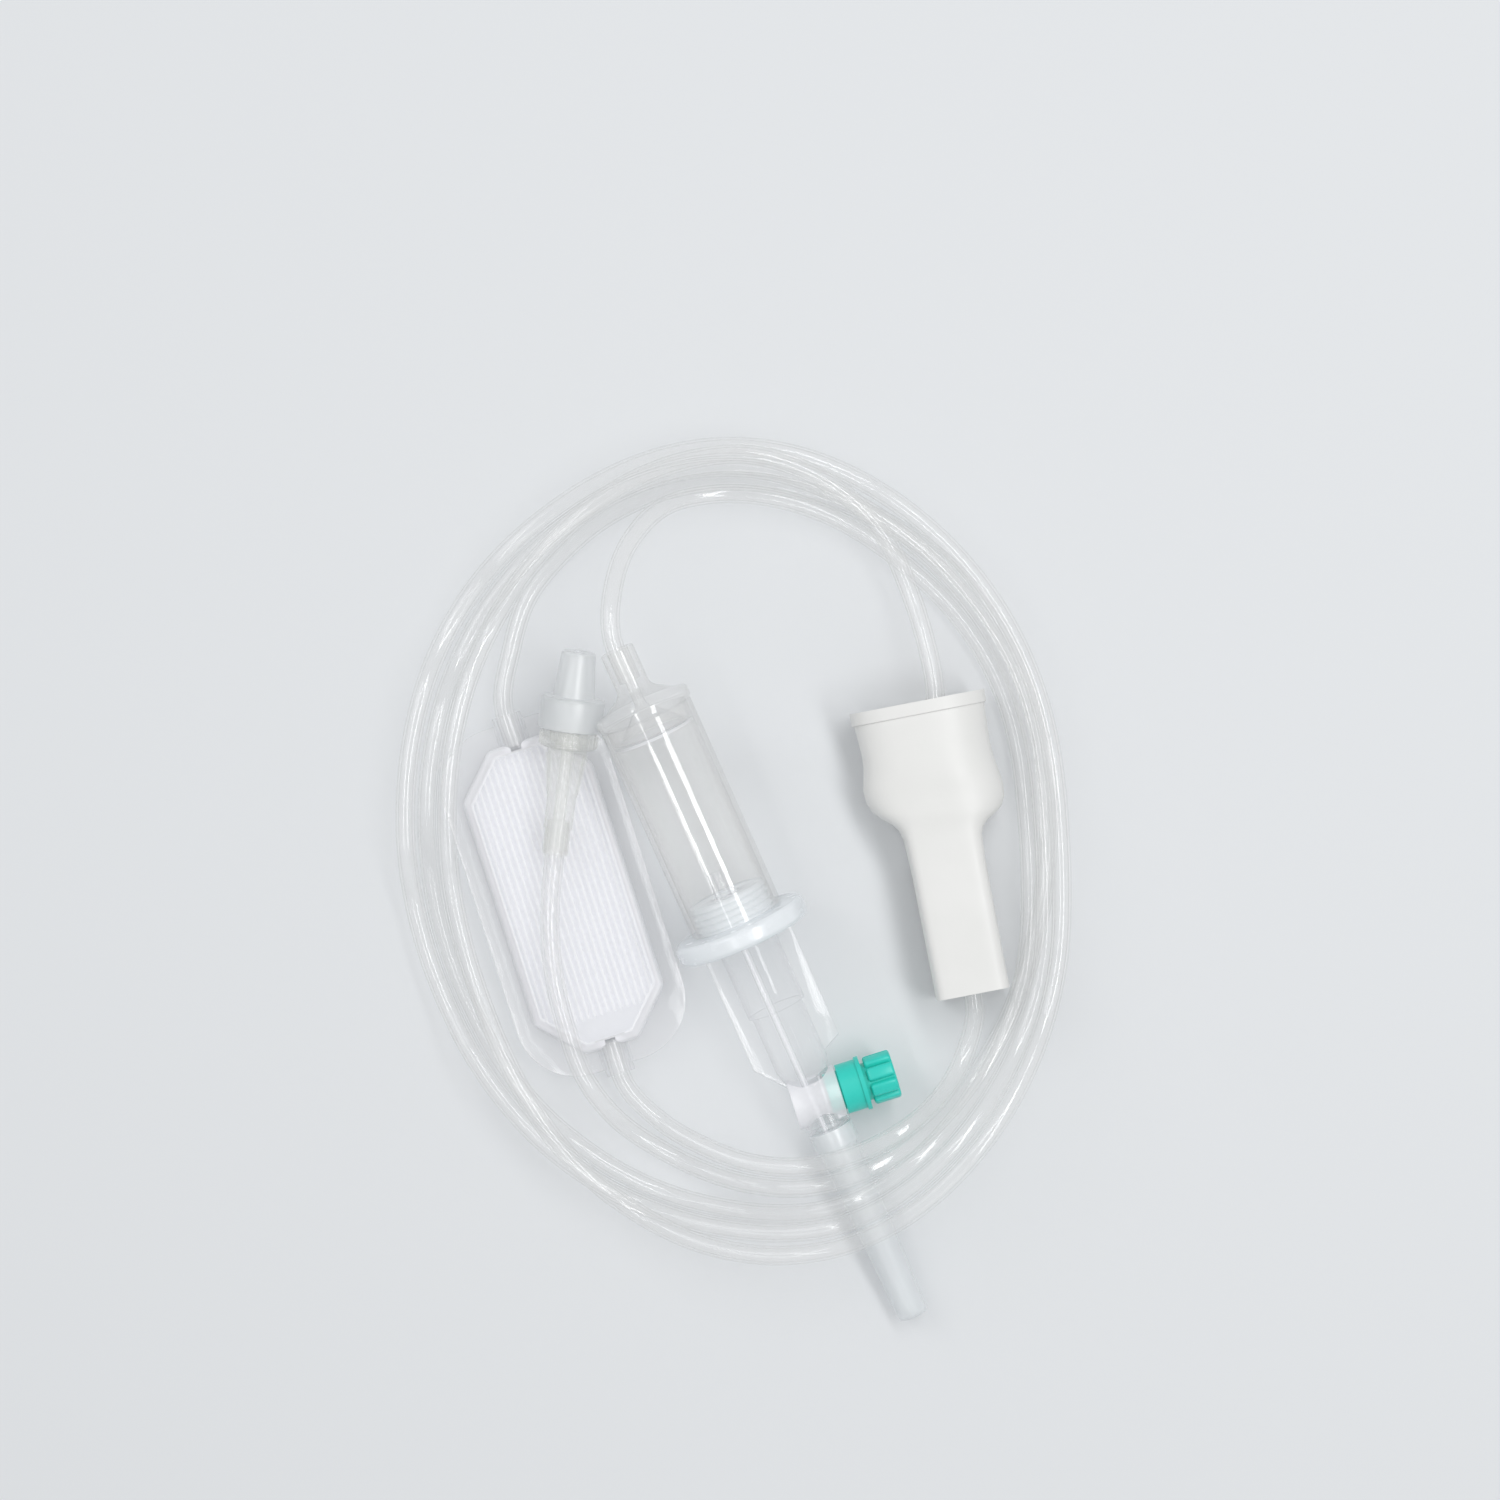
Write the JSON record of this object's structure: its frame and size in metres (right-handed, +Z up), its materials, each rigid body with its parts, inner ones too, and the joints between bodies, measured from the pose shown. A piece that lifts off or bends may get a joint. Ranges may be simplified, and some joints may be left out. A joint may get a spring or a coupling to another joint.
{
  "type": "iv infusion set",
  "caption": "Coiled infusion set: vented spike with cap, drip chamber, clear tube, roller clamp, flat inline filter and capped male luer lock, lying flat.",
  "frame": {"origin": "centre, in plan, of the box round the rigid pieces, at the surface the set lies on", "axes": "+Z up from that surface, +Y from the spike's tip towards the chamber's outlet end, +X from the filter towards the roller clamp"},
  "size_m": [0.141, 0.1849, 0.0312],
  "materials": {
    "clear_hard_plastic": "clear, glossy",
    "clear_soft_plastic": "clear, soft gloss",
    "milky_plastic": "translucent, satin",
    "green_plastic": "satin moulded",
    "off_white_plastic": "satin moulded",
    "membrane": "matt"
  },
  "bodies": {
    "root": {"spike_housing": "clear_hard_plastic", "vent_filter": "membrane", "chamber_cap": "milky_plastic", "drip_nozzle": "clear_hard_plastic", "drip_chamber": "clear_soft_plastic", "fluid_filter": "membrane", "outlet_cap": "clear_soft_plastic", "tube_chamber_to_clamp": "clear_soft_plastic", "clamp_body": "off_white_plastic", "tube_in_clamp": "clear_soft_plastic", "tube_clamp_to_filter": "clear_soft_plastic", "filter_rear_cover": "clear_hard_plastic", "filter_front_cover": "clear_hard_plastic", "filter_membrane": "membrane", "filter_air_vent_1": "membrane", "filter_air_vent_2": "membrane", "tube_filter_to_luer": "clear_soft_plastic", "luer_adapter": "clear_hard_plastic"},
    "spike_cap": {"spike_cap": "milky_plastic"},
    "vent_cap": {"vent_cap": "green_plastic"},
    "clamp_roller": {"clamp_roller": "off_white_plastic"},
    "luer_cap": {"luer_cap": "milky_plastic", "luer_cap_membrane": "membrane"},
    "luer_collar": {"luer_collar": "clear_hard_plastic"}
  },
  "joints": [
    {"name": "spike_cap_pull", "type": "slide", "parent": "root", "child": "spike_cap", "axis": [0.4035, -0.9064, -0.1251], "range_m": [0, 0.045]},
    {"name": "vent_cap_pull", "type": "slide", "parent": "root", "child": "vent_cap", "axis": [0.9544, 0.2982, -0.0146], "range_m": [0, 0.007]},
    {"name": "roller_travel", "type": "slide", "parent": "root", "child": "clamp_roller", "axis": [0.1891, -0.982, 0], "range_m": [0, 0.019], "deforming": ["tube_in_clamp"]},
    {"name": "luer_cap_pull", "type": "slide", "parent": "root", "child": "luer_cap", "axis": [0.121, 0.9856, 0.1184], "range_m": [0, 0.012]},
    {"name": "luer_collar_spin", "type": "hinge", "parent": "root", "child": "luer_collar", "pos_m": [-0.03242, 0.05151, 0.01287], "axis": [-0.121, -0.9856, -0.1184], "continuous": true}
  ]
}
